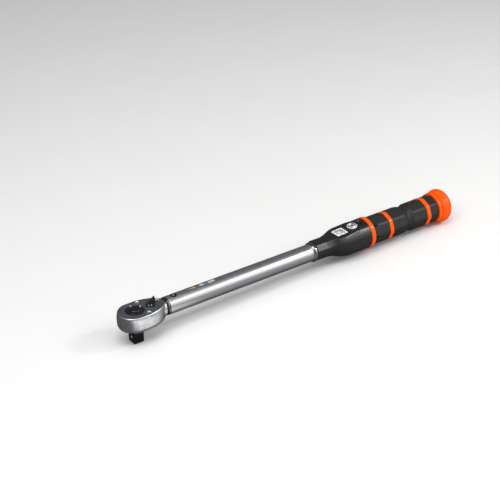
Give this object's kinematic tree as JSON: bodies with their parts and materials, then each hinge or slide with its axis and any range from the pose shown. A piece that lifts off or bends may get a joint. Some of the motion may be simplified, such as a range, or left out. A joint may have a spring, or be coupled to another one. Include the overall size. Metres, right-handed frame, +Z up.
{
  "type": "torque wrench",
  "caption": "Click-type torque wrench with a reversible ratchet head, a square drive, a window scale and a pull-and-turn setting knob at the end of a ribbed grip.",
  "frame": {"origin": "centre of the square drive's end face, on the ratchet wheel's axis", "axes": "+Z up along the drive's axis through the ratchet head, +X along the tube towards the setting knob"},
  "size_m": [0.4687, 0.042, 0.051],
  "materials": {
    "satin_chrome": "satin",
    "slate_steel": "satin",
    "black_steel": "satin",
    "bright_steel": "satin",
    "spring_steel": "satin",
    "brass": "satin",
    "black_plastic": "satin",
    "black_rubber": "matte",
    "orange_plastic": "gloss",
    "clear_plastic": "gloss",
    "white_plastic": "matte"
  },
  "bodies": {
    "wrench_body": {"tube": "satin_chrome", "neck_seal_front": "black_rubber", "neck_washer": "bright_steel", "neck_seal_rear": "black_rubber", "pivot_pin": "black_steel", "nose_ring": "black_steel", "housing": "black_plastic", "window_lens": "clear_plastic", "lock_emblem": "white_plastic", "ring_front": "orange_plastic", "ring_middle": "orange_plastic", "ring_rear": "orange_plastic", "grip_core": "black_plastic", "grip_front": "black_rubber", "grip_middle": "black_rubber", "grip_rear": "black_rubber", "lock_collar": "orange_plastic", "end_plug": "bright_steel", "plug_pin": "black_steel", "bearing_race_rear": "bright_steel", "main_spring": "spring_steel"},
    "head": {"ratchet_head": "satin_chrome", "cover_plate": "slate_steel", "cover_screw_1": "bright_steel", "cover_screw_2": "bright_steel", "cover_screw_3": "bright_steel", "pawl_plunger": "bright_steel", "pawl_spring": "spring_steel"},
    "drive": {"square_drive": "black_steel", "drive_circlip": "spring_steel", "button_spring": "spring_steel"},
    "button": {"release_button": "black_steel"},
    "detent_ball": {"retaining_ball": "bright_steel"},
    "lever": {"reverse_lever": "black_steel"},
    "pawl": {"pawl": "bright_steel"},
    "click_block": {"click_block": "bright_steel"},
    "plunger": {"plunger": "bright_steel"},
    "load_nut": {"load_nut": "brass", "scale_strip": "white_plastic"},
    "adjuster": {"setting_screw": "bright_steel", "bearing_race_front": "bright_steel", "knob_hub": "bright_steel", "hub_pin": "black_steel"},
    "bearing_cage": {"bearing_cage": "brass"},
    "knob": {"setting_knob": "orange_plastic", "knob_cap": "orange_plastic"}
  },
  "joints": [
    {"name": "head_click", "type": "hinge", "parent": "wrench_body", "child": "head", "pos_m": [0.049, 0, 0.03], "axis": [0, 0, 1], "range_deg": [-2.5, 2.5], "stiffness_Nm_per_rad": 60},
    {"name": "drive_spin", "type": "hinge", "parent": "head", "child": "drive", "pos_m": [0, 0, 0.03], "axis": [0, 0, 1], "continuous": true},
    {"name": "button_press", "type": "slide", "parent": "drive", "child": "button", "axis": [0, 0, -1], "range_m": [0, 0.0025], "stiffness_N_per_m": 500, "springref_m": -0.002, "deforming": ["button_spring"]},
    {"name": "ball_retract", "type": "slide", "parent": "drive", "child": "detent_ball", "axis": [1, 0, 0], "range_m": [0, 0.001]},
    {"name": "lever_throw", "type": "hinge", "parent": "head", "child": "lever", "pos_m": [0.0205, 0, 0.03], "axis": [0, 0, 1], "range_deg": [-90, 0]},
    {"name": "pawl_rock", "type": "hinge", "parent": "head", "child": "pawl", "pos_m": [0.0205, 0, 0.03], "axis": [0, 0, 1], "range_deg": [-7, 0]},
    {"name": "block_tilt", "type": "hinge", "parent": "wrench_body", "child": "click_block", "pos_m": [0.118, 0, 0.03], "axis": [0, 0, 1], "range_deg": [-17, 17]},
    {"name": "plunger_slide", "type": "slide", "parent": "wrench_body", "child": "plunger", "axis": [1, 0, 0], "range_m": [0, 0.0012], "stiffness_N_per_m": 8000, "springref_m": -0.0005, "deforming": ["main_spring"]},
    {"name": "knob_turn", "type": "hinge", "parent": "wrench_body", "child": "adjuster", "pos_m": [0.396, 0, 0.03], "axis": [-1, 0, 0], "range_deg": [0, 3240]},
    {"name": "cage_turn", "type": "hinge", "parent": "wrench_body", "child": "bearing_cage", "pos_m": [0.402, 0, 0.03], "axis": [-1, 0, 0], "range_deg": [0, 1620]},
    {"name": "nut_travel", "type": "slide", "parent": "wrench_body", "child": "load_nut", "axis": [-1, 0, 0], "range_m": [0, 0.0225], "deforming": ["main_spring"]},
    {"name": "knob_pull", "type": "slide", "parent": "adjuster", "child": "knob", "axis": [1, 0, 0], "range_m": [0, 0.006]}
  ],
  "couplings": [
    {"joint": "ball_retract", "follows": "button_press", "ratio": 0.4},
    {"joint": "pawl_rock", "follows": "lever_throw", "ratio": 0.077778},
    {"joint": "block_tilt", "follows": "head_click", "ratio": -6.6667},
    {"joint": "cage_turn", "follows": "knob_turn", "ratio": 0.5},
    {"joint": "nut_travel", "follows": "knob_turn", "m_per_rad": 0.00039789}
  ]
}
